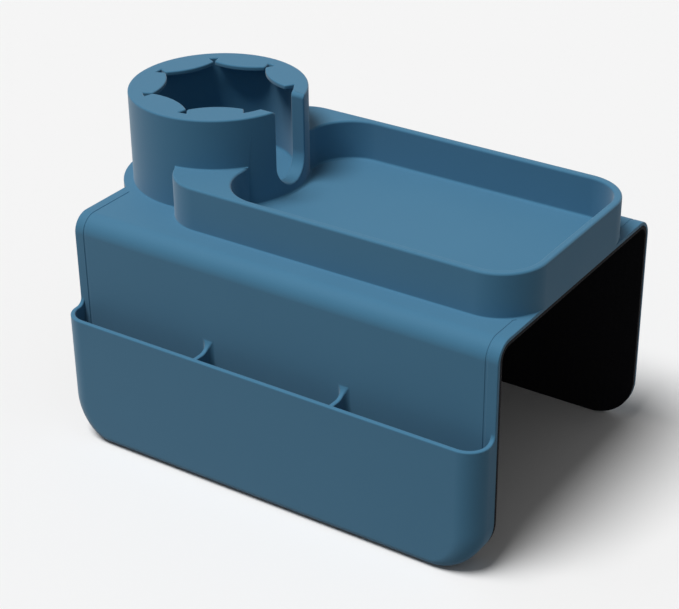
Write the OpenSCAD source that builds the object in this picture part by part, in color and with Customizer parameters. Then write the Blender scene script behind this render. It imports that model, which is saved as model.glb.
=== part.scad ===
// Sofa arm tray: a silicone saddle with a cup holder, an open tray and a hanging pocket.
// X runs along the sofa arm, Y across it (the pocket hangs at -Y), Z is up.
// The origin is the centre of the underside, where the saddle rests on the arm.

/* [Saddle] */
// Length of the saddle along the sofa arm
saddle_l = 302; // [280:1:340]
// Width over the outer faces of both hanging flaps
saddle_w = 191; // [188:1:220]
// Thickness of the blue silicone skin
skin_t = 2.2; // [1.8:0.1:3]
// Thickness of the black grip lining under the skin
lining_t = 2.3; // [1.5:0.1:3]
// Outer radius of the two folds over the edges of the arm
fold_r = 12; // [9:0.5:14]
// Length that the front flap hangs below the top of the arm
front_drop = 144; // [130:1:170]
// Length that the back flap hangs below the top of the arm
back_drop = 144; // [90:1:170]
// Radius of the two lower corners of each flap
flap_corner_r = 30; // [20:1:40]

/* [Border groove] */
// Distance from the ends of the saddle to the middle of the border groove
groove_inset = 7.5; // [5:0.5:9]
// Width of the border groove
groove_w = 1.4; // [1:0.1:3]
// Depth of the border groove
groove_d = 0.6; // [0.4:0.1:1.2]

/* [Cup holder] */
// Distance from the left end of the saddle to the cup holder's axis
cup_inset = 40.4; // [38:0.1:46]
// Distance of the cup holder's axis behind the middle of the saddle
cup_shift = 5; // [0:0.5:7]
// Outer radius of the cup holder
cup_r = 57.3; // [55:0.1:60]
// Thickness of the cup holder's wall
cup_wall_t = 9.3; // [7:0.1:11]
// Height of the cup holder above the saddle's skin
cup_h = 61; // [52:0.5:75]
// Thickness of the cup holder's floor
cup_floor_t = 3; // [2:0.1:4]
// Width of the flange that stands out round the foot of the cup holder
flange_w = 6.5; // [3:0.1:8]
// Width of the slot for a mug's handle
slot_w = 30; // [24:0.5:34]
// Height of the bottom of the slot above the saddle's skin
slot_floor_h = 8; // [5:0.5:12]

/* [Grip tabs] */
// Angle of the rim that has no tabs, centred on the slot
tab_free_angle = 62; // [50:1:70]
// Depth of the ledge from the cup holder's inner wall to the line where a tab bends
tab_ledge = 3.5; // [2.5:0.1:4.5]
// Reach of a tab from its bend line to its tip
tab_reach = 9.9; // [8:0.1:12]
// Thickness of the rim and of its tabs
tab_t = 2.8; // [2:0.1:3.6]
// Narrowest gap between neighbouring tabs
tab_gap = 2.2; // [1:0.1:4]
// Radius of the rounded tip corners of a tab
tab_corner_r = 6; // [4:0.5:7]
// Radius of the shallow crown of a tab's tip
tab_crown_r = 41; // [36:1:80]

/* [Tray] */
// Distance from the cup holder's axis to the left end of the tray's outline
shelf_start = 5.6; // [2:0.1:12]
// Width of the tray over its walls
tray_w = 148; // [138:1:154]
// Distance of the tray's centre line behind the middle of the saddle
tray_shift = 2; // [0:0.5:4]
// Height of the tray's wall above the saddle's skin
tray_h = 28.4; // [20:0.2:36]
// Thickness of the tray's wall
tray_wall_t = 5; // [3:0.1:7]
// Outer radius of the tray's corners
tray_corner_r = 30; // [24:1:34]
// Length of the bowl's left end that the cup holder's wall takes up
bowl_tuck = 10.7; // [6:0.1:14]
// Radius of the bowl's corners beside the cup holder
bowl_left_r = 30; // [24:1:34]
// Thickness of the tray's floor on the saddle's skin
tray_floor_t = 1.5; // [1:0.1:3]

/* [Pocket] */
// Depth of the pocket in front of the front flap
pocket_depth = 19.5; // [17:0.5:30]
// Thickness of the pocket's walls
pocket_wall_t = 3; // [2:0.1:4]
// Distance of the pocket's rim below the top of the arm
rim_drop = 57.2; // [45:0.1:70]
// Radius of the pocket's two upright corners
pocket_corner_r = 15; // [10:0.5:16]
// Radius of the pocket's lower front edge
pocket_edge_r = 6; // [5:0.5:12]
// Radius of the sweep that carries the pocket's ends up to the flap
pocket_sweep_r = 5; // [4:0.5:13]
// Thickness of the two dividers
divider_t = 3; // [2:0.1:4]
// Distance from the middle of the pocket to the middle of each divider
divider_x = 49.6; // [40:0.1:65]
// Distance of the dividers' tops below the pocket's rim
divider_step = 2.4; // [0:0.1:4]
// Radius of the sweep that carries a divider up to the flap
divider_sweep_r = 8; // [4:0.5:12]
// Radius of the fillets at both ends of a divider
divider_fillet_r = 3; // [1:0.5:5]

/* [Fits] */
// Clearance between a grip tab and the fixed rim at its bend line
tab_clearance = 0.3; // [0.3:0.05:0.6]

/* [Hidden] */
$fn = 96;
silicone = [0.32, 0.51, 0.64];
lining = [0.08, 0.08, 0.09];

// Room that a cutting shape reaches past the solid it cuts
over = 1;
half_l = saddle_l / 2;
half_w = saddle_w / 2;
// Half the width of the flat top, between the two folds
flat_half_w = half_w - fold_r;
// Height of the skin's upper face
skin_z = lining_t + skin_t;
// Height of the centre line of both folds
fold_z = skin_z - fold_r;
groove_x = half_l - groove_inset;
front_face_y = -half_w;

cup_x = cup_inset - half_l;
cup_y = cup_shift;
cup_in_r = cup_r - cup_wall_t;
cup_top_z = skin_z + cup_h;
rim_z = cup_top_z - tab_t;
slot_z = skin_z + slot_floor_h;
tab_root_r = cup_in_r - tab_ledge;
tab_tip_r = tab_root_r - tab_reach;
// There is one node for each tab
tab_count = 6;
tab_pitch = (360 - tab_free_angle) / tab_count;
// Half the length of the bend line, a chord of the cup holder's inner wall
tab_half_chord = sqrt(pow(cup_in_r, 2) - pow(tab_root_r, 2));
// Half the width of a tab where the gap to its neighbour is narrowest
tab_half_w = min(tab_half_chord - tab_clearance, tab_root_r * tan(tab_pitch / 2) - tab_gap);
// Half the width of the straight part of a tab's tip
tip_half_w = tab_half_w - tab_corner_r;

tray_right_x = half_l;
tray_left_x = cup_x + shelf_start;
tray_front_y = tray_shift - tray_w / 2;
tray_back_y = tray_shift + tray_w / 2;
tray_top_z = skin_z + tray_h;
bowl_right_x = tray_right_x - tray_wall_t;
bowl_left_x = cup_x + cup_r - bowl_tuck;
bowl_right_r = tray_corner_r - tray_wall_t;
// Plane where the tray's wall meets the two shelves beside the cup holder
shelf_x = bowl_left_x + bowl_left_r;

pocket_y = front_face_y - pocket_depth;
pocket_z = -rim_drop;
divider_z = pocket_z - divider_step;

// Outline with four round corners, with one radius at each end
module rounded_outline(x0, x1, y0, y1, left_r, right_r) {
    translate([x0, y0 + left_r]) square([left_r, y1 - y0 - 2 * left_r]);
    translate([x0 + left_r, y0]) square([x1 - x0 - left_r - right_r, y1 - y0]);
    translate([x1 - right_r, y0 + right_r]) square([right_r, y1 - y0 - 2 * right_r]);
    for (y = [y0 + left_r, y1 - left_r]) translate([x0 + left_r, y]) circle(left_r);
    for (y = [y0 + right_r, y1 - right_r]) translate([x1 - right_r, y]) circle(right_r);
}

// Outline of a hanging flap, with round lower corners
module drop_outline(l, top, bottom, r) {
    translate([-l / 2, bottom + r]) square([l, top - bottom - r]);
    translate([-l / 2 + r, bottom]) square([l - 2 * r, r]);
    for (s = [-1, 1]) translate([s * (l / 2 - r), bottom + r]) circle(r);
}

// Concave fillet in the corner between the axes, with radius r
module fillet_outline(r) {
    difference() {
        square(r);
        translate([r, r]) circle(r);
    }
}

module tray_outline() {
    rounded_outline(tray_left_x, tray_right_x, tray_front_y, tray_back_y, tray_corner_r, tray_corner_r);
}

module bowl_outline() {
    rounded_outline(bowl_left_x, bowl_right_x, tray_front_y + tray_wall_t, tray_back_y - tray_wall_t,
        bowl_left_r, bowl_right_r);
}

module cup_circle(r) {
    translate([cup_x, cup_y]) circle(r);
}

// Flat top of the saddle, with the round flange at the cup holder's foot
module saddle_outline() {
    translate([-half_l, -flat_half_w]) square([saddle_l, 2 * flat_half_w]);
    cup_circle(cup_r + flange_w);
}

// The two border grooves as seen from above, clear of the cup holder and the tray
module groove_outline() {
    difference() {
        for (s = [-1, 1]) translate([s * groove_x - groove_w / 2, -half_w]) square([groove_w, saddle_w]);
        cup_circle(cup_r + flange_w);
        tray_outline();
    }
}

module top_panel() {
    color(silicone) difference() {
        translate([0, 0, lining_t]) linear_extrude(skin_t) saddle_outline();
        translate([0, 0, skin_z - groove_d]) linear_extrude(groove_d + over) groove_outline();
    }
}

module top_lining() {
    color(lining) linear_extrude(lining_t) saddle_outline();
}

// A quarter ring along X, over the back edge of the arm
module fold_ring(outer_r, inner_r, l) {
    translate([0, flat_half_w, fold_z]) rotate([90, 0, 90]) linear_extrude(l, center = true)
        intersection() {
            difference() {
                circle(outer_r);
                circle(inner_r);
            }
            square(outer_r);
        }
}

module fold_skin() {
    color(silicone) difference() {
        fold_ring(fold_r, fold_r - skin_t, saddle_l);
        for (s = [-1, 1]) translate([s * groove_x, 0, 0])
            translate([0, flat_half_w, fold_z]) rotate([90, 0, 90]) linear_extrude(groove_w, center = true)
                difference() {
                    circle(fold_r + over);
                    circle(fold_r - groove_d);
                }
    }
}

module fold_lining() {
    color(lining) fold_ring(fold_r - skin_t, fold_r - skin_t - lining_t, saddle_l);
}

module front_fold_skin() {
    mirror([0, 1, 0]) fold_skin();
}

module front_fold_lining() {
    mirror([0, 1, 0]) fold_lining();
}

module back_fold_skin() {
    fold_skin();
}

module back_fold_lining() {
    fold_lining();
}

// A flap's plate that hangs at +Y, from its outer face inwards
module flap_plate(face_y, t, drop) {
    translate([0, face_y, 0]) rotate([90, 0, 0]) linear_extrude(t)
        drop_outline(saddle_l, fold_z, -drop, flap_corner_r);
}

// A flap's skin at +Y, whose grooves run down from the fold to the start of its round lower corners
module flap_skin(drop) {
    groove_bottom = flap_corner_r - drop;
    color(silicone) difference() {
        flap_plate(half_w, skin_t, drop);
        for (s = [-1, 1]) translate([s * groove_x - groove_w / 2, half_w - groove_d, groove_bottom])
            cube([groove_w, groove_d + over, fold_z - groove_bottom + over]);
    }
}

module front_panel() {
    mirror([0, 1, 0]) flap_skin(front_drop);
}

module front_lining() {
    color(lining) mirror([0, 1, 0]) flap_plate(half_w - skin_t, lining_t, front_drop);
}

module back_panel() {
    flap_skin(back_drop);
}

module back_lining() {
    color(lining) flap_plate(half_w - skin_t, lining_t, back_drop);
}

// Pocket's shape grown inwards by inset, open towards the flap and, if inset, at the top
module pocket_block(inset) {
    top = inset > 0 ? over + pocket_sweep_r : pocket_sweep_r;
    corner_r = pocket_corner_r - inset;
    edge_r = pocket_edge_r - inset;
    back = inset > 0 ? over : 0;
    l = saddle_l - 2 * inset;
    bottom = inset - front_drop;
    front = pocket_y + inset;
    intersection() {
        translate([0, front_face_y + back, 0]) rotate([90, 0, 0]) linear_extrude(pocket_depth + back)
            drop_outline(l, pocket_z + top, bottom, flap_corner_r - inset);
        translate([0, 0, -front_drop]) linear_extrude(front_drop) union() {
            translate([-l / 2, front + corner_r]) square([l, pocket_depth - inset - corner_r + back]);
            translate([corner_r - l / 2, front]) square([l - 2 * corner_r, corner_r]);
            for (s = [-1, 1]) translate([s * (l / 2 - corner_r), front + corner_r]) circle(corner_r);
        }
        rotate([90, 0, 90]) linear_extrude(saddle_l, center = true) union() {
            translate([front, bottom + edge_r]) square([pocket_depth - inset + back, pocket_z - bottom - edge_r]);
            translate([front + edge_r, bottom]) square([pocket_depth - inset - edge_r + back, edge_r]);
            translate([front + edge_r, bottom + edge_r]) circle(edge_r);
            if (inset > 0)
                translate([front, pocket_z - over]) square([pocket_depth + back, top + over]);
            else
                translate([front_face_y, pocket_z]) mirror([1, 0]) fillet_outline(pocket_sweep_r);
        }
    }
}

module pocket_shell() {
    color(silicone) difference() {
        pocket_block(0);
        pocket_block(pocket_wall_t);
    }
}

// Divider at x, from the flap's skin to the pocket's front wall
module pocket_divider(x) {
    inner_y = pocket_y + pocket_wall_t;
    inner_l = pocket_depth - pocket_wall_t;
    inner_z = pocket_wall_t - front_drop;
    inner_r = pocket_edge_r - pocket_wall_t;
    color(silicone) intersection() {
        translate([x, inner_y, inner_z]) linear_extrude(front_drop - pocket_wall_t) union() {
            translate([-divider_t / 2, 0]) square([divider_t, inner_l]);
            for (s = [0, 1], e = [0, 1]) translate([0, e * inner_l]) mirror([s, 0]) mirror([0, e])
                translate([divider_t / 2, 0]) fillet_outline(divider_fillet_r);
        }
        rotate([90, 0, 90]) linear_extrude(saddle_l, center = true) union() {
            translate([inner_y, inner_z + inner_r]) square([inner_l, divider_z - inner_z - inner_r]);
            translate([inner_y + inner_r, inner_z]) square([inner_l - inner_r, inner_r]);
            translate([inner_y + inner_r, inner_z + inner_r]) circle(inner_r);
            translate([front_face_y, divider_z]) mirror([1, 0]) fillet_outline(divider_sweep_r);
        }
    }
}

module pocket_divider_left() {
    pocket_divider(-divider_x);
}

module pocket_divider_right() {
    pocket_divider(divider_x);
}

// Solid between the tray's outline, its bowl and the cup holder
module tray_ring() {
    translate([0, 0, skin_z]) linear_extrude(tray_h) difference() {
        tray_outline();
        bowl_outline();
        cup_circle(cup_r);
    }
}

module tray_wall() {
    color(silicone) intersection() {
        tray_ring();
        translate([shelf_x, tray_front_y - over, 0])
            cube([tray_right_x - shelf_x + over, tray_w + 2 * over, tray_top_z + over]);
    }
}

// The flat-topped block in one corner between the cup holder and the bowl
module shelf(side) {
    color(silicone) intersection() {
        tray_ring();
        translate([tray_left_x - over, side > 0 ? cup_y : cup_y - tray_w, 0])
            cube([shelf_x - tray_left_x + over, tray_w, tray_top_z + over]);
    }
}

module front_shelf() {
    shelf(-1);
}

module back_shelf() {
    shelf(1);
}

module tray_floor() {
    color(silicone) translate([0, 0, skin_z]) linear_extrude(tray_floor_t) difference() {
        bowl_outline();
        cup_circle(cup_r);
    }
}

// The slot for a mug's handle, which opens upwards and towards the tray
module handle_slot() {
    translate([cup_x, cup_y, slot_z + slot_w / 2]) rotate([0, 90, 0]) cylinder(h = cup_r + over, r = slot_w / 2);
    translate([cup_x, cup_y - slot_w / 2, slot_z + slot_w / 2]) cube([cup_r + over, slot_w, cup_h]);
}

module cup_wall() {
    color(silicone) difference() {
        translate([cup_x, cup_y, skin_z]) cylinder(h = cup_h - tab_t, r = cup_r);
        translate([cup_x, cup_y, skin_z - over]) cylinder(h = cup_h + 2 * over, r = cup_in_r);
        handle_slot();
    }
}

module cup_floor() {
    color(silicone) translate([cup_x, cup_y, skin_z]) cylinder(h = cup_floor_t, r = cup_in_r);
}

// Rim over the cup holder's wall, with a straight inner edge behind each tab
module cup_rim() {
    color(silicone) difference() {
        translate([cup_x, cup_y, rim_z]) linear_extrude(tab_t) difference() {
            circle(cup_r);
            difference() {
                circle(cup_in_r);
                for (i = [1 : tab_count]) rotate(tab_angle(i))
                    translate([tab_root_r, -tab_half_chord]) square([cup_wall_t, 2 * tab_half_chord]);
            }
        }
        handle_slot();
    }
}

// Direction of a tab from the cup holder's axis, counted round from the slot
function tab_angle(i) = tab_free_angle / 2 + tab_pitch * (i - 0.5);

// One flexible tab, from its bend line to its crowned tip
module grip_tab(i) {
    root_x = tab_root_r - tab_clearance;
    color(silicone) translate([cup_x, cup_y, rim_z]) rotate(tab_angle(i)) linear_extrude(tab_t) intersection() {
        union() {
            translate([tab_tip_r + tab_corner_r, -tab_half_w])
                square([root_x - tab_tip_r - tab_corner_r, 2 * tab_half_w]);
            translate([tab_tip_r, -tip_half_w]) square([root_x - tab_tip_r, 2 * tip_half_w]);
            for (s = [-1, 1]) translate([tab_tip_r + tab_corner_r, s * tip_half_w]) intersection() {
                circle(tab_corner_r);
                translate([-tab_corner_r, -tab_corner_r])
                    square([root_x - tab_tip_r, 2 * tab_corner_r]);
            }
        }
        translate([tab_tip_r + tab_crown_r, 0]) circle(tab_crown_r);
    }
}

top_panel();
top_lining();
tray_wall();
front_shelf();
back_shelf();
tray_floor();
cup_wall();
cup_floor();
cup_rim();
grip_tab(1);  // grip_tab_1
grip_tab(2);  // grip_tab_2
grip_tab(3);  // grip_tab_3
grip_tab(4);  // grip_tab_4
grip_tab(5);  // grip_tab_5
grip_tab(6);  // grip_tab_6
front_fold_skin();
front_fold_lining();
back_fold_skin();
back_fold_lining();
front_panel();
front_lining();
pocket_shell();
pocket_divider_left();
pocket_divider_right();
back_panel();
back_lining();
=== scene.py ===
import bmesh
import bpy
import math
from mathutils import Matrix, Vector
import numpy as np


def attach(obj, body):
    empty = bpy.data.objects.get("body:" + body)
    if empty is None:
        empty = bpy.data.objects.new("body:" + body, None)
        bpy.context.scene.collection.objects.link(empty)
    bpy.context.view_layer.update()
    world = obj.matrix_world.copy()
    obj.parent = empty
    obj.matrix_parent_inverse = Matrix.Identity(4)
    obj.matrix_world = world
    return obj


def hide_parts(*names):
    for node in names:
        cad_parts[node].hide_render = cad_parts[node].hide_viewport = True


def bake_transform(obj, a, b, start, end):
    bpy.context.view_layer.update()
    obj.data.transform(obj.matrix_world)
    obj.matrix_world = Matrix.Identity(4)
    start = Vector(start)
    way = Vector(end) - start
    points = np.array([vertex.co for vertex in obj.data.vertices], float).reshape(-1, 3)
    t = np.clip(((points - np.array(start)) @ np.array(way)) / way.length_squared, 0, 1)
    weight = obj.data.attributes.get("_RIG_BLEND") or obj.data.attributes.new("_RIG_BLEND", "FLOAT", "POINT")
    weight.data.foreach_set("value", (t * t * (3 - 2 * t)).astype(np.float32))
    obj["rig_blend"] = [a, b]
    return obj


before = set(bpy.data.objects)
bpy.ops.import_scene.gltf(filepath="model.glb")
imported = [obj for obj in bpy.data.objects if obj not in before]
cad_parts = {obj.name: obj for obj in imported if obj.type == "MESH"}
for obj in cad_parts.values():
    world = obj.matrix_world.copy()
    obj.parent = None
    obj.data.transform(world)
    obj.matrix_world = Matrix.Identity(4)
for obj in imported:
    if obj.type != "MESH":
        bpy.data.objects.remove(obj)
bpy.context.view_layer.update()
mm = 0.001

# sizes that several pieces share, in millimetres
saddle = {
    "halfLength": 151, "seam": 80, "flatHalfWidth": 83.5, "skinTop": 4.5, "skinBottom": 2.3, "foldRadius": 12,
    "flapFace": 95.5, "bottom": -144, "cornerRadius": 30,
    "grooveX": 143.5, "grooveWidth": 1.4, "grooveDepth": 0.4, "grooveRounding": 0.3, "endRounding": 0.6,
}
cup = {"x": -110.6, "y": 5}


def deselectAll():
    if bpy.context.mode != "OBJECT":
        bpy.ops.object.mode_set(mode="OBJECT")
    bpy.ops.object.select_all(action="DESELECT")


def pick(piece):
    deselectAll()
    piece.select_set(True)
    bpy.context.view_layer.objects.active = piece


# rounds the coordinates, so that faces meant to be level are exactly level for the joins
def evenOut(piece):
    for corner in piece.data.vertices:
        corner.co = [round(value, 7) for value in corner.co]


def settle(name):
    piece = bpy.context.object
    piece.name = piece.data.name = name
    pick(piece)
    bpy.ops.object.transform_apply(location=True, rotation=True, scale=True)
    evenOut(piece)
    return piece


def addBlock(name, low, high):
    deselectAll()
    middle = [(a + b) / 2 * mm for a, b in zip(low, high)]
    bpy.ops.mesh.primitive_cube_add(size=1, location=middle, scale=[(b - a) * mm for a, b in zip(low, high)])
    return settle(name)


def addDrum(name, x, y, bottom, top, radius, sides=80):
    deselectAll()
    bpy.ops.mesh.primitive_cylinder_add(
        vertices=sides, radius=radius * mm, depth=(top - bottom) * mm, location=(x * mm, y * mm, (bottom + top) / 2 * mm)
    )
    return settle(name)


def addRod(name, y, z, x0, x1, radius, sides=64):
    deselectAll()
    bpy.ops.mesh.primitive_cylinder_add(
        vertices=sides, radius=radius * mm, depth=(x1 - x0) * mm,
        location=((x0 + x1) / 2 * mm, y * mm, z * mm), rotation=(0, math.pi / 2, 0),
    )
    return settle(name)


# enters edit mode with the edges picked whose middle and direction, in millimetres, pass the test
def selectEdges(piece, test):
    pick(piece)
    bpy.context.tool_settings.mesh_select_mode = (False, True, False)
    mesh = piece.data
    for part in (mesh.vertices, mesh.edges, mesh.polygons):
        part.foreach_set("select", [False] * len(part))
    for edge in mesh.edges:
        a, b = (mesh.vertices[i].co / mm for i in edge.vertices)
        edge.select = test((a + b) / 2, (b - a).normalized())
    bpy.ops.object.mode_set(mode="EDIT")


def roundEdges(piece, test, radius, segments=12):
    selectEdges(piece, test)
    bpy.ops.mesh.bevel(offset=radius * mm, segments=segments, profile=0.5, affect="EDGES", clamp_overlap=False)
    deselectAll()


# takes out an upright edge, where a crossing wall would leave a strip too narrow to round
def dropEdge(piece, x, y):
    selectEdges(piece, lambda p, d: abs(d.z) > 0.999 and math.hypot(p.x - x, p.y - y) < 0.5)
    bpy.ops.mesh.dissolve_edges(use_verts=True)
    deselectAll()


def combine(piece, tool, how="UNION"):
    pick(piece)
    step = piece.modifiers.new("combine", "BOOLEAN")
    step.operation, step.solver, step.object = how, "EXACT", tool
    bpy.ops.object.modifier_apply(modifier=step.name)
    bpy.data.objects.remove(tool)


# merges what the joins left: doubled corners, and edges that lie in one plane
def cleanUp(piece):
    pick(piece)
    bpy.ops.object.mode_set(mode="EDIT")
    bpy.ops.mesh.select_all(action="SELECT")
    bpy.ops.mesh.remove_doubles(threshold=2e-5)
    bpy.ops.mesh.dissolve_degenerate(threshold=1e-5)
    bpy.ops.mesh.select_all(action="SELECT")
    bpy.ops.mesh.dissolve_limited(angle_limit=math.radians(0.4))
    deselectAll()


# rounds each edge by the radius in millimetres that the rule gives for its middle, angle and faces
def softenEdges(piece, widest, segments, rule):
    cleanUp(piece)
    work = bmesh.new()
    work.from_mesh(piece.data)
    work.normal_update()
    layers = work.edges.layers.float
    weight = layers.get("bevel_weight_edge") or layers.new("bevel_weight_edge")
    for edge in work.edges:
        edge[weight] = 0
        if len(edge.link_faces) == 2:
            angle = math.degrees(edge.calc_face_angle_signed(0))
            middle = (edge.verts[0].co + edge.verts[1].co) / 2 / mm
            if abs(angle) > 25:
                edge[weight] = rule(middle, angle, [face.normal for face in edge.link_faces]) / widest
    work.to_mesh(piece.data)
    work.free()
    pick(piece)
    step = piece.modifiers.new("soften", "BEVEL")
    step.limit_method, step.width, step.segments = "WEIGHT", widest * mm, segments
    step.use_clamp_overlap, step.miter_outer = False, "MITER_ARC"
    bpy.ops.object.modifier_apply(modifier=step.name)
    evenOut(piece)


def smoothShade(piece, angle=32):
    pick(piece)
    bpy.ops.object.shade_smooth_by_angle(angle=math.radians(angle))
    step = piece.modifiers.new("weighted", "WEIGHTED_NORMAL")
    step.keep_sharp, step.weight = True, 90
    bpy.ops.object.modifier_apply(modifier=step.name)


# a sheet that lies flat from the seam, folds over the edge of the arm and hangs down, at -Y or +Y by side
def foldedSheet(name, x0, x1, low, high, side, start, bottom, foldSteps=14):
    deselectAll()
    bpy.ops.mesh.primitive_plane_add(
        size=1, location=((x0 + x1) / 2 * mm, side * start * mm, (low + high) / 2 * mm),
        rotation=(math.pi / 2, 0, 0),
    )
    bpy.context.object.scale = ((x1 - x0) * mm, (high - low) * mm, 1)
    sheet = settle(name)
    bpy.ops.object.mode_set(mode="EDIT")
    bpy.ops.mesh.select_all(action="SELECT")
    flat, foldZ = saddle["flatHalfWidth"], saddle["skinTop"] - saddle["foldRadius"]
    bpy.ops.mesh.extrude_region_move(TRANSFORM_OT_translate={"value": (0, side * (flat - start) * mm, 0)})
    bpy.ops.mesh.spin(
        steps=foldSteps, angle=math.radians(90 * side), center=(0, side * flat * mm, foldZ * mm), axis=(1, 0, 0)
    )
    bpy.ops.mesh.extrude_region_move(TRANSFORM_OT_translate={"value": (0, 0, (bottom - foldZ) * mm)})
    bpy.ops.mesh.select_all(action="SELECT")
    bpy.ops.mesh.remove_doubles(threshold=1e-6)
    bpy.ops.mesh.normals_make_consistent(inside=False)
    deselectAll()
    return sheet


def nearAxis(direction, axis):
    return abs(direction[axis]) > 0.999


# main moulding: flat skin, tray and cup holder
moulding = {
    "flangeRadius": 63.8, "trayLeft": -105, "trayRight": 151, "trayFront": -72, "trayBack": 76, "trayTop": 32.9,
    "trayRadius": 30, "bowlLeft": -64, "bowlWall": 5, "bowlRadiusLeft": 30, "bowlRadiusRight": 25, "bowlFloor": 6,
    "cupRadius": 57.3, "wellRadius": 48, "cupTop": 65.5, "cupFloor": 7.5,
    "slotWidth": 30, "slotBottom": 12.5, "slotCorner": 3, "footMargin": 1.4, "backTip": (-100.6, 61.7),
}
tabs = {
    "count": 6, "freeAngle": 62, "root": 44.5, "tip": 34.6, "halfWidth": 17.6, "cornerRadius": 6, "crown": 41,
    "thickness": 2.8,
}


def tabAngle(number):
    pitch = (360 - tabs["freeAngle"]) / tabs["count"]
    return math.radians(tabs["freeAngle"] / 2 + pitch * (number - 0.5))


def turnAboutCup(piece, angle):
    centre = Vector((cup["x"] * mm, cup["y"] * mm, 0))
    piece.data.transform(Matrix.Translation(centre) @ Matrix.Rotation(angle, 4, "Z") @ Matrix.Translation(-centre))


def makeTab(number):
    low, high = moulding["cupTop"] - tabs["thickness"], moulding["cupTop"] + 25
    x, y, half = cup["x"], cup["y"], tabs["halfWidth"]
    tab = addBlock("tab", (x + tabs["tip"], y - half, low), (x + 51, y + half, high))
    roundEdges(tab, lambda p, d: nearAxis(d, 2) and p.x < x + tabs["tip"] + 1, tabs["cornerRadius"], 8)
    crown = addDrum("crown", x + tabs["tip"] + tabs["crown"], y, low - 5, high + 5, tabs["crown"], 160)
    combine(tab, crown, "INTERSECT")
    turnAboutCup(tab, tabAngle(number))
    return tab


# the slot for a mug's handle, with a round bottom and rounded corners at the rim
def makeSlotTool():
    m, x, y = moulding, cup["x"], cup["y"]
    half, bend = m["slotWidth"] / 2, m["slotCorner"]
    tool = addBlock("slot", (x, y - half, m["slotBottom"] + half), (x + 70, y + half, m["cupTop"] + 15))
    combine(tool, addRod("slotEnd", y, m["slotBottom"] + half, x, x + 70, half))
    for side in (-1, 1):
        low, high = sorted((y + side * half, y + side * (half + bend)))
        corner = addBlock("corner", (x, low, m["cupTop"] - bend), (x + 70, high, m["cupTop"] + 15))
        shoulder = addRod("shoulder", y + side * (half + bend), m["cupTop"] - bend, x - 5, x + 75, bend, 48)
        combine(corner, shoulder, "DIFFERENCE")
        combine(tool, corner)
    return tool


# level ground round the right half of the tray, where the end grooves stop
def makeTrayFoot():
    m, margin = moulding, moulding["footMargin"]
    foot = addBlock(
        "foot", (0, m["trayFront"] - margin, saddle["skinBottom"]),
        (m["trayRight"] + margin, m["trayBack"] + margin, saddle["skinTop"]),
    )
    roundEdges(foot, lambda p, d: nearAxis(d, 2) and p.x > m["trayRight"], m["trayRadius"] + margin, 20)
    combine(foot, addBlock("end", (m["trayRight"], -200, 0), (m["trayRight"] + 20, 200, 10)), "DIFFERENCE")
    return foot


def makeMoulding():
    m, s = moulding, saddle
    half, top, low = s["halfLength"], s["skinTop"], s["skinBottom"]
    body = addBlock("saddleMoulding", (-half, -s["seam"], low), (half, s["seam"], top))
    for side in (-1, 1):
        x = side * s["grooveX"]
        groove = addBlock(
            "groove", (x - s["grooveWidth"] / 2, -half, top - s["grooveDepth"]), (x + s["grooveWidth"] / 2, half, top + 5)
        )
        combine(body, groove, "DIFFERENCE")
    combine(body, addDrum("flange", cup["x"], cup["y"], low, top, m["flangeRadius"]))
    combine(body, makeTrayFoot())
    tray = addBlock("tray", (m["trayLeft"], m["trayFront"], low + 1), (m["trayRight"], m["trayBack"], m["trayTop"]))
    roundEdges(tray, lambda p, d: nearAxis(d, 2), m["trayRadius"], 20)
    dropEdge(tray, *m["backTip"])
    bowl = addBlock(
        "bowl", (m["bowlLeft"], m["trayFront"] + m["bowlWall"], m["bowlFloor"]),
        (m["trayRight"] - m["bowlWall"], m["trayBack"] - m["bowlWall"], m["trayTop"] + 10),
    )
    roundEdges(bowl, lambda p, d: nearAxis(d, 2) and p.x < 0, m["bowlRadiusLeft"], 20)
    roundEdges(bowl, lambda p, d: nearAxis(d, 2) and p.x > 140, m["bowlRadiusRight"], 18)
    dropEdge(bowl, m["bowlLeft"], m["trayBack"] - m["bowlWall"] - m["bowlRadiusLeft"])
    combine(tray, bowl, "DIFFERENCE")
    combine(tray, addDrum("cup", cup["x"], cup["y"], low + 1, m["cupTop"], m["cupRadius"]))
    well = addDrum("well", cup["x"], cup["y"], m["cupFloor"], m["cupTop"] + 10, m["wellRadius"])
    for number in range(1, tabs["count"] + 1):
        combine(well, makeTab(number), "DIFFERENCE")
    combine(tray, well, "DIFFERENCE")
    combine(tray, makeSlotTool(), "DIFFERENCE")
    combine(body, tray)
    return body


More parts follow.
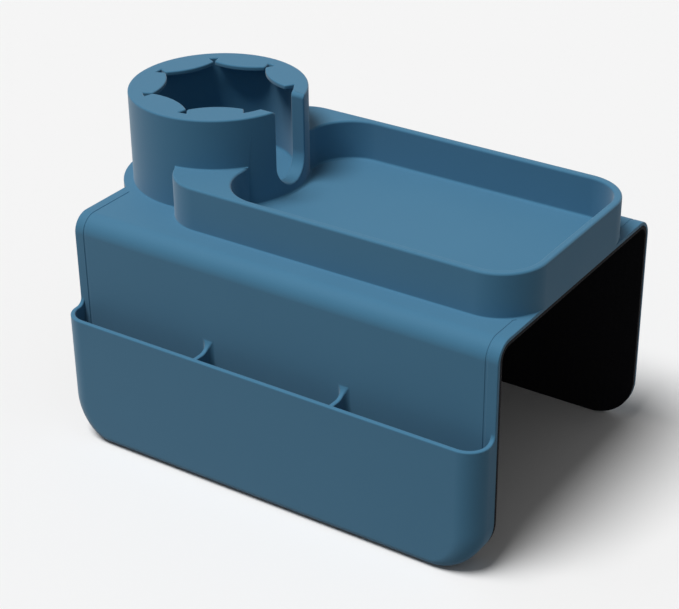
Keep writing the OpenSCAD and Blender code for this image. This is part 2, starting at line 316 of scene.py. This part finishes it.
def mouldingRounding(p, angle, normals):
    m, s = moulding, saddle
    radial = math.hypot(p.x - cup["x"], p.y - cup["y"])
    concave = angle < 0
    if abs(abs(p.y) - s["seam"]) < 0.01 or p.z < s["skinBottom"] + 0.01:
        return 0
    if p.z < s["skinTop"] - 0.05:
        return 0
    if abs(p.z - s["skinTop"]) < 0.01:
        if concave:
            return 0 if p.x > s["halfLength"] - 1.6 else 0.9
        if radial > m["flangeRadius"] - 0.3 and p.x < -s["halfLength"] + 1:
            return 0.6
        onEnd = abs(abs(p.x) - s["halfLength"]) < 0.01
        return s["endRounding"] if onEnd else s["grooveRounding"]
    if radial < m["wellRadius"] + 0.5 and p.z < m["cupFloor"] + 0.1:
        return 2
    if concave and p.z < m["bowlFloor"] + 0.1:
        return 1.6
    inSlot = 0 < p.x - cup["x"] < m["cupRadius"] + 0.5 and abs(p.y - cup["y"]) < m["slotWidth"] / 2 + m["slotCorner"] + 0.1
    if p.z > m["cupTop"] - 0.05 or inSlot and not concave:
        return 1.1 if radial > 55 else 0.9
    if p.z > m["cupTop"] - tabs["thickness"] - 0.05 and radial < m["wellRadius"]:
        return 0.5 if not concave else 0
    if concave:
        upright = all(abs(normal.z) < 0.01 for normal in normals)
        return 0 if upright else 0.9
    if abs(p.z - m["trayTop"]) < 0.05:
        return 1.5
    return 1.1


saddleMoulding = makeMoulding()
print("moulding joined:", len(saddleMoulding.data.polygons), "faces")
softenEdges(saddleMoulding, 2, 4, mouldingRounding)
print("moulding softened:", len(saddleMoulding.data.polygons), "faces")


# grip tabs: each is cut off the finished rim along its bend line
def tabCutter(number):
    x, y = cup["x"], cup["y"]
    cutter = addBlock(
        "cutter", (x + 20, y - tabs["halfWidth"] - 0.25, moulding["cupTop"] - 8),
        (x + tabs["root"], y + tabs["halfWidth"] + 0.25, moulding["cupTop"] + 3),
    )
    half = math.pi / tabs["count"] * (360 - tabs["freeAngle"]) / 360
    pick(cutter)
    bpy.ops.object.mode_set(mode="EDIT")
    for side in (-1, 1):
        bpy.ops.mesh.select_all(action="SELECT")
        bpy.ops.mesh.bisect(
            plane_co=(x * mm, y * mm, 0), plane_no=(-math.sin(half), side * math.cos(half), 0),
            clear_outer=True, use_fill=True,
        )
    deselectAll()
    turnAboutCup(cutter, tabAngle(number))
    return cutter


# splits the many-sided faces before a join, and melts them together again after it
def splitFaces(piece):
    pick(piece)
    for face in piece.data.polygons:
        face.select = len(face.vertices) > 4
    bpy.context.tool_settings.mesh_select_mode = (False, False, True)
    bpy.ops.object.mode_set(mode="EDIT")
    bpy.ops.mesh.quads_convert_to_tris(ngon_method="BEAUTY")
    deselectAll()


def meltFaces(piece):
    pick(piece)
    bpy.ops.object.mode_set(mode="EDIT")
    bpy.ops.mesh.select_all(action="SELECT")
    bpy.ops.mesh.dissolve_limited(angle_limit=math.radians(0.2))
    deselectAll()


def copyOf(piece, name):
    twin = piece.copy()
    twin.data = piece.data.copy()
    twin.name = twin.data.name = name
    bpy.context.scene.collection.objects.link(twin)
    return twin


gripTabs = []
splitFaces(saddleMoulding)
for number in range(1, tabs["count"] + 1):
    tab = copyOf(saddleMoulding, f"gripTab{number}")
    combine(tab, tabCutter(number), "INTERSECT")
    combine(saddleMoulding, tabCutter(number), "DIFFERENCE")
    meltFaces(tab)
    pick(tab)
    bpy.ops.object.mode_set(mode="EDIT")
    angle = tabAngle(number)
    outwards = Vector((math.cos(angle), math.sin(angle), 0))
    for step in range(1, 7):
        reach = (tabs["root"] - 0.75 * step) * mm
        bpy.ops.mesh.select_all(action="SELECT")
        bpy.ops.mesh.bisect(
            plane_co=Vector((cup["x"] * mm, cup["y"] * mm, 0)) + outwards * reach, plane_no=outwards
        )
    deselectAll()
    gripTabs.append(tab)
meltFaces(saddleMoulding)
print("grip tabs cut:", [len(tab.data.polygons) for tab in gripTabs])

# front skin: fold, flap and pocket in one moulding
pocket = {
    "front": -115, "wall": 3, "rim": -57.2, "sweepRadius": 5, "sideRadius": 15, "bottomEdgeRadius": 6,
    "dividerX": 49.6, "dividerWidth": 3, "dividerTop": -59.6, "dividerSweep": 8, "dividerFillet": 3,
    "grooveBottom": -114, "rimRounding": 0.9,
}


# a block with the flap's U outline, whose front edge is rounded by more at the sides than along the bottom
def pocketBody(name, inset, back, top):
    half, bottom = saddle["halfLength"] - inset, saddle["bottom"] + inset
    shape = addBlock(name, (-half, pocket["front"] + inset, bottom), (half, back, top))
    roundEdges(
        shape, lambda p, d: nearAxis(d, 1) and p.z < bottom + 1, saddle["cornerRadius"] - inset, 16
    )
    sideRadius, bottomRadius = pocket["sideRadius"] - inset, pocket["bottomEdgeRadius"] - inset
    corner = saddle["cornerRadius"] - inset

    def frontRounding(p, angle, normals):
        if p.y > pocket["front"] + inset + 0.01 or p.z > top - 0.01:
            return 0
        side = max(abs(p.x) - (half - corner), 0)
        down = max(bottom + corner - p.z, 0)
        turn = math.degrees(math.atan2(down, side)) / 90 if side > 0 else 1
        blend = turn * turn * (3 - 2 * turn)
        return sideRadius + (bottomRadius - sideRadius) * blend

    softenEdges(shape, sideRadius, 10, frontRounding)
    return shape


# cuts what is above a height off a tool that stands before the flap, with a hollow curve up to the flap's face
def sweepTop(piece, x0, x1, height, radius):
    face = -saddle["flapFace"]
    notch = addBlock("notch", (x0, pocket["front"] - 5, height), (x1, face - radius, 0))
    combine(piece, notch, "DIFFERENCE")
    combine(piece, addRod("bend", face - radius, height + radius, x0, x1, radius, 96), "DIFFERENCE")


# a divider with upright fillets at both ends
def makeDivider(x):
    p, face = pocket, -saddle["flapFace"]
    half, fillet, inner = p["dividerWidth"] / 2, p["dividerFillet"], p["front"] + p["wall"]
    top = p["dividerTop"] + p["dividerSweep"]
    divider = addBlock("divider", (x - half - fillet, inner - 1, saddle["bottom"] + 1), (x + half + fillet, face + 1, top))
    for side in (-1, 1):
        near, far = x + side * half, x + side * 20
        bay = addBlock("bay", (min(near, far), inner, saddle["bottom"] - 5), (max(near, far), face, 0))
        roundEdges(bay, lambda q, d: nearAxis(d, 2) and abs(q.x - near) < 0.1, fillet, 6)
        combine(divider, bay, "DIFFERENCE")
    sweepTop(divider, x - 9, x + 9, p["dividerTop"], p["dividerSweep"])
    return divider


def makeFrontSkin():
    s, p = saddle, pocket
    half, low, high, face = s["halfLength"], s["skinBottom"], s["skinTop"], -s["flapFace"]
    top = p["rim"] + p["sweepRadius"]
    skin = foldedSheet("frontSkin", -half, half, low, high, -1, s["seam"], top)
    shell = pocketBody("pocket", 0, face + high - low, top)
    sweepTop(shell, -200, 200, p["rim"], p["sweepRadius"])
    hollow = pocketBody("hollow", p["wall"], face, p["rim"] + 30)
    for side in (-1, 1):
        combine(hollow, makeDivider(side * p["dividerX"]), "DIFFERENCE")
    combine(shell, hollow, "DIFFERENCE")
    combine(skin, shell)
    for side in (-1, 1):
        x = side * s["grooveX"]
        groove = foldedSheet(
            "groove", x - s["grooveWidth"] / 2, x + s["grooveWidth"] / 2, high - s["grooveDepth"], high + 3, -1,
            s["seam"] - 1, p["grooveBottom"],
        )
        combine(skin, groove, "DIFFERENCE")
    return skin


def frontRoundingRule(p, angle, normals):
    s, q = saddle, pocket
    face, foldZ = -s["flapFace"], s["skinTop"] - s["foldRadius"]
    onSide = abs(abs(p.x) - s["halfLength"]) < 0.05
    atBack = p.y > face + s["skinTop"] - s["skinBottom"] - 0.01 and p.z < foldZ
    inFold = p.z >= foldZ and math.hypot(p.y + s["flatHalfWidth"], p.z - foldZ) < s["foldRadius"] - 0.5
    if p.y > -s["seam"] - 0.01 or atBack or (inFold and p.z < s["skinTop"] - 0.1):
        return 0
    if onSide and angle > 0 and p.y > face - 0.1:
        return s["endRounding"]
    if abs(abs(p.x) - s["grooveX"]) < s["grooveWidth"] / 2 + 0.01 and p.y > face - 0.05:
        return s["grooveRounding"] if angle > 0 else 0
    if angle < 0:
        return 0
    divider = abs(abs(p.x) - q["dividerX"]) < q["dividerWidth"] / 2 + q["dividerFillet"] + 0.1 and p.y > q["front"] + q["wall"]
    top, sweep = (q["dividerTop"], q["dividerSweep"]) if divider else (q["rim"], q["sweepRadius"])
    if p.z > top - 0.1:
        fade = 1 if onSide else min(max((top + sweep - p.z) / 3, 0), 1)
        if divider:
            fade = min(fade, max((p.y - q["front"] - q["wall"]) / q["dividerFillet"], 0))
        return q["rimRounding"] * fade
    return 0


frontSkin = makeFrontSkin()
print("front skin joined:", len(frontSkin.data.polygons), "faces")
softenEdges(frontSkin, 2, 4, frontRoundingRule)
print("front skin softened:", len(frontSkin.data.polygons), "faces")

# back skin: fold and flap
backFlap = {"grooveBottom": -114}


def makeBackSkin():
    s = saddle
    half, low, high = s["halfLength"], s["skinBottom"], s["skinTop"]
    skin = foldedSheet("backSkin", -half, half, low, high, 1, s["seam"], s["bottom"])
    roundEdges(skin, lambda p, d: nearAxis(d, 1) and p.z < s["bottom"] + 1, s["cornerRadius"], 16)
    for side in (-1, 1):
        x = side * s["grooveX"]
        groove = foldedSheet(
            "groove", x - s["grooveWidth"] / 2, x + s["grooveWidth"] / 2, high - s["grooveDepth"], high + 3, 1,
            s["seam"] - 1, backFlap["grooveBottom"],
        )
        combine(skin, groove, "DIFFERENCE")
    return skin


def backRoundingRule(p, angle, normals):
    s = saddle
    foldZ = s["skinTop"] - s["foldRadius"]
    if p.y < s["seam"] + 0.01 or angle < 0:
        return 0
    onFlap = p.y > s["flapFace"] - 0.01
    onFold = p.z > foldZ and math.hypot(p.y - s["flatHalfWidth"], p.z - foldZ) > s["foldRadius"] - 0.2
    onTop = p.z > s["skinTop"] - 0.01
    if not (onFlap or onFold or onTop):
        return 0
    if abs(abs(p.x) - s["grooveX"]) < s["grooveWidth"] / 2 + 0.01 and p.z > backFlap["grooveBottom"] - 0.1:
        return s["grooveRounding"]
    return s["endRounding"]


backSkin = makeBackSkin()
softenEdges(backSkin, saddle["endRounding"], 3, backRoundingRule)
print("back skin done")


# a near-black sheet under the skin: painted shade, standing for the dark shadow band under the mat's edge
shadeLining = {"thickness": 2.3}


def makeFoldedShadeLining(name, side):
    s = saddle
    sheet = foldedSheet(name, -s["halfLength"], s["halfLength"], 0, shadeLining["thickness"], side, s["seam"], s["bottom"])
    roundEdges(sheet, lambda p, d: nearAxis(d, 1) and p.z < s["bottom"] + 1, s["cornerRadius"], 16)
    return sheet


# painted shade: these near-black sheets give the dark shadow band under the mat's edge
topShadeLining = addBlock("topShadeLining", (-saddle["halfLength"], -saddle["seam"], 0),
                     (saddle["halfLength"], saddle["seam"], shadeLining["thickness"]))
combine(topShadeLining, addDrum("flange", cup["x"], cup["y"], 0, shadeLining["thickness"], moulding["flangeRadius"]))
frontShadeLining = makeFoldedShadeLining("frontShadeLining", -1)
backShadeLining = makeFoldedShadeLining("backShadeLining", 1)
print("lining done")


# finishes
silicone = {
    "colour": (0.054, 0.184, 0.306), "lighter": (0.062, 0.2, 0.327), "roughness": 0.56, "rougher": 0.7,
    "grainSize": 2600, "grainDepth": 0.02, "cloudSize": 22,
}
# painted shade: the near-black colour stands for the shadow band under the mat's edge; the studs and roughness are
# bump and finish only
shadeAndGrip = {
    "colour": (0.010, 0.010, 0.012), "roughness": 0.6, "rougher": 0.85, "grainSize": 1500, "studPitch": 4,
    "studHeight": 0.3,
}


def newMaterial(name):
    material = bpy.data.materials.new(name)
    material.use_nodes = True
    return material, material.node_tree.nodes, material.node_tree.links


# a number that follows a 0 to 1 factor from low to high
def between(nodes, links, factor, low, high):
    span = nodes.new("ShaderNodeMapRange")
    span.inputs["To Min"].default_value, span.inputs["To Max"].default_value = low, high
    links.new(factor, span.inputs["Value"])
    return span.outputs["Result"]


def makeSilicone():
    material, nodes, links = newMaterial("matteSilicone")
    shader = nodes["Principled BSDF"]
    place = nodes.new("ShaderNodeTexCoord")
    cloud = nodes.new("ShaderNodeTexNoise")
    cloud.inputs["Scale"].default_value = silicone["cloudSize"]
    cloud.inputs["Detail"].default_value = 4
    links.new(place.outputs["Object"], cloud.inputs["Vector"])
    tint = nodes.new("ShaderNodeMix")
    tint.data_type = "RGBA"
    tint.inputs["A"].default_value = (*silicone["colour"], 1)
    tint.inputs["B"].default_value = (*silicone["lighter"], 1)
    links.new(cloud.outputs["Fac"], tint.inputs["Factor"])
    links.new(tint.outputs["Result"], shader.inputs["Base Color"])
    grain = nodes.new("ShaderNodeTexNoise")
    grain.inputs["Scale"].default_value = silicone["grainSize"]
    grain.inputs["Detail"].default_value = 2
    links.new(place.outputs["Object"], grain.inputs["Vector"])
    bump = nodes.new("ShaderNodeBump")
    bump.inputs["Strength"].default_value = 0.25
    bump.inputs["Distance"].default_value = silicone["grainDepth"] * mm
    links.new(grain.outputs["Fac"], bump.inputs["Height"])
    links.new(bump.outputs["Normal"], shader.inputs["Normal"])
    links.new(between(nodes, links, cloud.outputs["Fac"], silicone["roughness"], silicone["rougher"]),
              shader.inputs["Roughness"])
    shader.inputs["Specular IOR Level"].default_value = 0.12
    shader.inputs["Sheen Weight"].default_value = 0.24
    shader.inputs["Sheen Roughness"].default_value = 0.5
    return material


# painted shade: near-black for the shadow band under the mat's edge, rubbery with small raised studs, which stop the
# saddle from sliding
def makeShadeAndGrip():
    material, nodes, links = newMaterial("paintedShadeGripLining")
    shader = nodes["Principled BSDF"]
    place = nodes.new("ShaderNodeTexCoord")
    grain = nodes.new("ShaderNodeTexNoise")
    grain.inputs["Scale"].default_value, grain.inputs["Detail"].default_value = shadeAndGrip["grainSize"], 3
    links.new(place.outputs["Object"], grain.inputs["Vector"])
    links.new(between(nodes, links, grain.outputs["Fac"], shadeAndGrip["roughness"], shadeAndGrip["rougher"]),
              shader.inputs["Roughness"])
    studs = nodes.new("ShaderNodeTexVoronoi")
    studs.inputs["Scale"].default_value, studs.inputs["Randomness"].default_value = 1 / (shadeAndGrip["studPitch"] * mm), 0
    links.new(place.outputs["Object"], studs.inputs["Vector"])
    crown = nodes.new("ShaderNodeMapRange")
    crown.interpolation_type = "SMOOTHSTEP"
    crown.inputs["From Min"].default_value, crown.inputs["From Max"].default_value = 0.22, 0.36
    crown.inputs["To Min"].default_value, crown.inputs["To Max"].default_value = 1, 0
    links.new(studs.outputs["Distance"], crown.inputs["Value"])
    height = nodes.new("ShaderNodeMath")
    height.operation = "MULTIPLY_ADD"
    height.inputs[1].default_value = 0.12
    links.new(grain.outputs["Fac"], height.inputs[0])
    links.new(crown.outputs["Result"], height.inputs[2])
    bump = nodes.new("ShaderNodeBump")
    bump.inputs["Strength"].default_value, bump.inputs["Distance"].default_value = 0.6, shadeAndGrip["studHeight"] * mm
    links.new(height.outputs["Value"], bump.inputs["Height"])
    links.new(bump.outputs["Normal"], shader.inputs["Normal"])
    # painted shade: near-black colour for the shadow band under the mat's edge
    shader.inputs["Base Color"].default_value = (*shadeAndGrip["colour"], 1)
    shader.inputs["Specular IOR Level"].default_value = 0.05
    return material


blue, black = makeSilicone(), makeShadeAndGrip()
for piece in (saddleMoulding, frontSkin, backSkin, *gripTabs):
    piece.data.materials.clear()
    piece.data.materials.append(blue)
    smoothShade(piece)
# the sheets under the skin get the near-black painted shade
for piece in (topShadeLining, frontShadeLining, backShadeLining):
    piece.data.materials.clear()
    piece.data.materials.append(black)
    smoothShade(piece)
print("finishes done")

# what each piece moves with
foldStart = (0, saddle["flatHalfWidth"] * mm, saddle["skinTop"] * mm)
foldEnd = (0, saddle["flapFace"] * mm, (saddle["skinTop"] - saddle["foldRadius"]) * mm)


def atFront(point):
    return (point[0], -point[1], point[2])


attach(saddleMoulding, "saddle")
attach(topShadeLining, "saddle")
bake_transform(frontSkin, "saddle", "front_flap", start=atFront(foldStart), end=atFront(foldEnd))
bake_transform(frontShadeLining, "saddle", "front_flap", start=atFront(foldStart), end=atFront(foldEnd))
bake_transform(backSkin, "saddle", "back_flap", start=foldStart, end=foldEnd)
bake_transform(backShadeLining, "saddle", "back_flap", start=foldStart, end=foldEnd)
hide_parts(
    "top_panel", "tray_wall", "front_shelf", "back_shelf", "tray_floor", "cup_wall", "cup_floor",
    "cup_rim",
)
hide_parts("top_lining")
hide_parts("front_fold_skin", "front_panel", "pocket_shell", "pocket_divider_left", "pocket_divider_right")
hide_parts("front_fold_lining", "front_lining")
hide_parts("back_fold_skin", "back_panel")
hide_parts("back_fold_lining", "back_lining")
for number, tab in enumerate(gripTabs, 1):
    angle = tabAngle(number)
    root, end = (
        (cup["x"] * mm + reach * mm * math.cos(angle), cup["y"] * mm + reach * mm * math.sin(angle), 0.0641)
        for reach in (tabs["root"], tabs["root"] - 4.5)
    )
    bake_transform(tab, "saddle", f"grip_{number}", start=root, end=end)
    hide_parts(f"grip_tab_{number}")

# stage: pale floor and backdrop, soft lights, the camera at the photograph's angle
stage = {
    "floor": -144.2, "pale": 0.92, "bounce": 0.2, "worldLight": 0.16, "worldSeen": 1,
    "keyFrom": (-0.2, -0.33, 1), "keyStrength": 2.8, "keySoftness": 28,
}
camera = {
    "place": (0.55247, -0.85069, 0.50148), "azimuth": -33.19, "elevation": 29.95, "roll": -0.37,
    "lens": 96.38, "shiftX": -0.0246, "shiftY": 0.0498,
}


# 1 for rays from the camera or a glossy or clear surface, which see the pale set, 0 for rays that carry its light
def seenRay(nodes, links):
    path = nodes.new("ShaderNodeLightPath")
    seen = path.outputs["Is Camera Ray"]
    for ray in ("Is Glossy Ray", "Is Transmission Ray"):
        either = nodes.new("ShaderNodeMath")
        either.operation = "MAXIMUM"
        links.new(seen, either.inputs[0])
        links.new(path.outputs[ray], either.inputs[1])
        seen = either.outputs[0]
    return seen


def makeStage():
    deselectAll()
    bpy.ops.mesh.primitive_plane_add(size=60, location=(0, 0, stage["floor"] * mm))
    floor = settle("floor")
    material, nodes, links = newMaterial("paleFloor")
    shader = nodes["Principled BSDF"]
    tone = between(nodes, links, seenRay(nodes, links), stage["bounce"], stage["pale"])
    links.new(tone, shader.inputs["Base Color"])
    shader.inputs["Roughness"].default_value = 0.9
    shader.inputs["Specular IOR Level"].default_value = 0.1
    floor.data.materials.append(material)


def makeLight():
    key = bpy.data.lights.new("key", "SUN")
    key.energy, key.angle = stage["keyStrength"], math.radians(stage["keySoftness"])
    lamp = bpy.data.objects.new("key", key)
    bpy.context.scene.collection.objects.link(lamp)
    lamp.rotation_mode = "QUATERNION"
    lamp.rotation_quaternion = (-Vector(stage["keyFrom"])).to_track_quat("-Z", "Y")
    world = bpy.data.worlds.new("room")
    bpy.context.scene.world = world
    world.use_nodes = True
    nodes, links = world.node_tree.nodes, world.node_tree.links
    background = nodes["Background"]
    background.inputs["Color"].default_value = (1, 1, 1, 1)
    links.new(between(nodes, links, seenRay(nodes, links), stage["worldLight"], stage["worldSeen"]),
              background.inputs["Strength"])


def makeCamera():
    lens = bpy.data.cameras.new("camera")
    lens.lens, lens.sensor_width = camera["lens"], 36
    lens.shift_x, lens.shift_y = camera["shiftX"], camera["shiftY"]
    lens.clip_start, lens.clip_end = 0.01, 30
    view = bpy.data.objects.new("camera", lens)
    bpy.context.scene.collection.objects.link(view)
    azimuth, elevation, roll = (math.radians(camera[key]) for key in ("azimuth", "elevation", "roll"))
    ahead = Vector((math.sin(azimuth) * math.cos(elevation), math.cos(azimuth) * math.cos(elevation),
                    -math.sin(elevation)))
    right = ahead.cross(Vector((0, 0, 1))).normalized()
    up = right.cross(ahead)
    tiltedRight = math.cos(roll) * right + math.sin(roll) * up
    tiltedUp = -math.sin(roll) * right + math.cos(roll) * up
    turn = Matrix((tiltedRight, tiltedUp, -ahead)).transposed()
    view.matrix_world = Matrix.Translation(camera["place"]) @ turn.to_4x4()
    bpy.context.scene.camera = view


makeStage()
makeLight()
makeCamera()
bpy.context.scene.view_settings.view_transform = "Standard"
